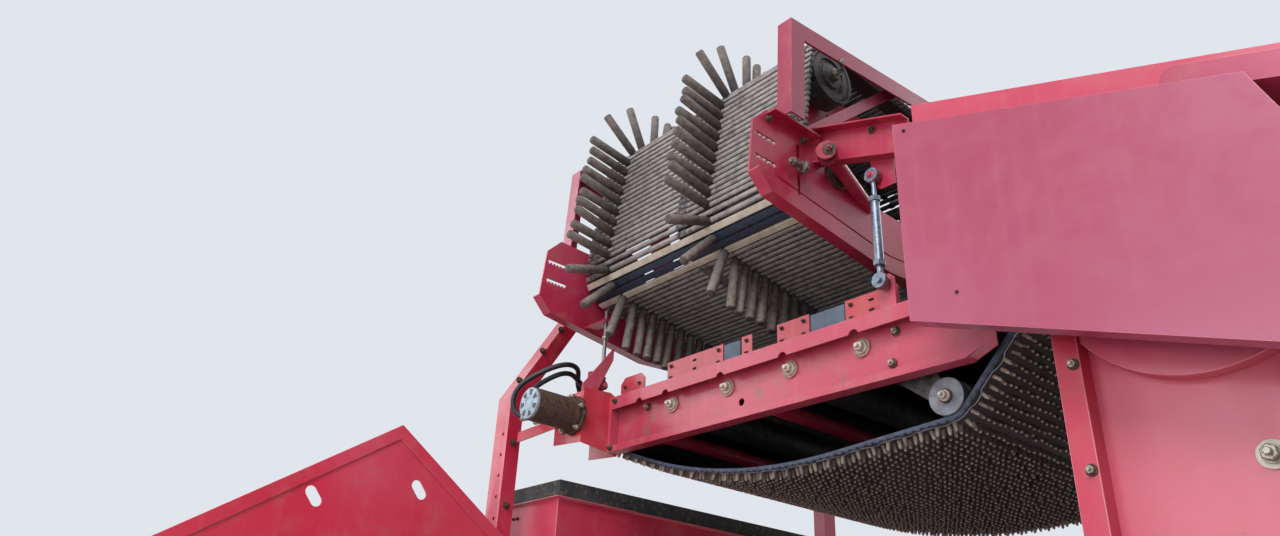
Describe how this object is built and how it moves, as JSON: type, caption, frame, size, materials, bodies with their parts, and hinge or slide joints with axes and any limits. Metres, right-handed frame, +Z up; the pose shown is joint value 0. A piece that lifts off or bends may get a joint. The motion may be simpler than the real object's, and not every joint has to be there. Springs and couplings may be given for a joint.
{
  "type": "potato harvester separator section",
  "caption": "Pintle belt table in side rails with a cross-running rod web with rubber fingers hung over it on arms, an infeed web, side cover, posts and base frame.",
  "frame": {"origin": "middle of the four fixing holes in the feet, on the floor", "axes": "+X along the belt towards the infeed, +Y across, away from the covered side, +Z up"},
  "size_m": [2.88, 2.88, 2.3684],
  "materials": {
    "red_paint": "faded gloss enamel with dust",
    "dark_steel": "dark, dusty, part rusted",
    "zinc_steel": "zinc plated, dull",
    "worn_rod": "worn spring steel with soil",
    "finger_rubber": "worn, soil stained",
    "belt_rubber": "soil stained rubber",
    "flap_rubber": "dusty sheet rubber",
    "hose_rubber": "smooth hydraulic hose"
  },
  "bodies": {
    "frame": {"base_rail_near": "red_paint", "base_rail_far": "red_paint", "base_cross": "red_paint", "base_feet": "dark_steel", "side_beams": "red_paint", "post_near": "red_paint", "post_far": "red_paint", "end_posts": "red_paint", "chute_box": "red_paint", "side_wall_near": "red_paint", "side_wall_far": "red_paint", "drum_cover": "red_paint", "belt_rail_near": "red_paint", "belt_rail_far": "red_paint", "rail_cross_tubes": "red_paint", "rail_hangers": "dark_steel", "edge_plates": "red_paint", "rubber_flaps": "flap_rubber", "support_rollers": "dark_steel", "drive_roller": "dark_steel", "end_roller": "dark_steel", "return_roller": "dark_steel", "pintle_belt": "belt_rubber", "motor_bracket": "red_paint", "belt_motor": "dark_steel", "motor_hoses": "hose_rubber", "crank_post": "red_paint", "post_struts": "red_paint", "screw_stand": "red_paint", "turnbuckle_tube": "zinc_steel", "rubber_apron": "belt_rubber", "gable_panel": "red_paint", "pivot_posts": "red_paint", "infeed_web": "worn_rod", "infeed_rollers": "dark_steel", "cover_hinge": "red_paint"},
    "finger_web": {"arm_right": "red_paint", "arm_left": "red_paint", "arm_tubes": "red_paint", "outrigger": "red_paint", "guard_frames": "red_paint", "web_rollers": "dark_steel", "web_belts": "belt_rubber", "web_rods": "worn_rod", "finger_row_left": "finger_rubber", "finger_row_right": "finger_rubber"},
    "turnbuckle_eye": {"turnbuckle_rod": "zinc_steel"},
    "cover": {"side_cover": "red_paint"}
  },
  "joints": [
    {"name": "finger_web_tilt", "type": "hinge", "parent": "frame", "child": "finger_web", "pos_m": [-0.25, 0.74, 1.451], "axis": [-1, 0, 0], "range_deg": [-1.4, 1.4]},
    {"name": "turnbuckle_turn", "type": "hinge", "parent": "finger_web", "child": "turnbuckle_eye", "pos_m": [0.52, -0.704, 1.451], "axis": [-1, 0, 0], "range_deg": [-1.4, 1.4]},
    {"name": "side_cover_lift", "type": "hinge", "parent": "frame", "child": "cover", "pos_m": [0.696, -0.818, 1.474], "axis": [-0.9455, 0, 0.3256], "range_deg": [0, 75]}
  ],
  "couplings": [
    {"joint": "turnbuckle_turn", "follows": "finger_web_tilt", "ratio": -1}
  ]
}
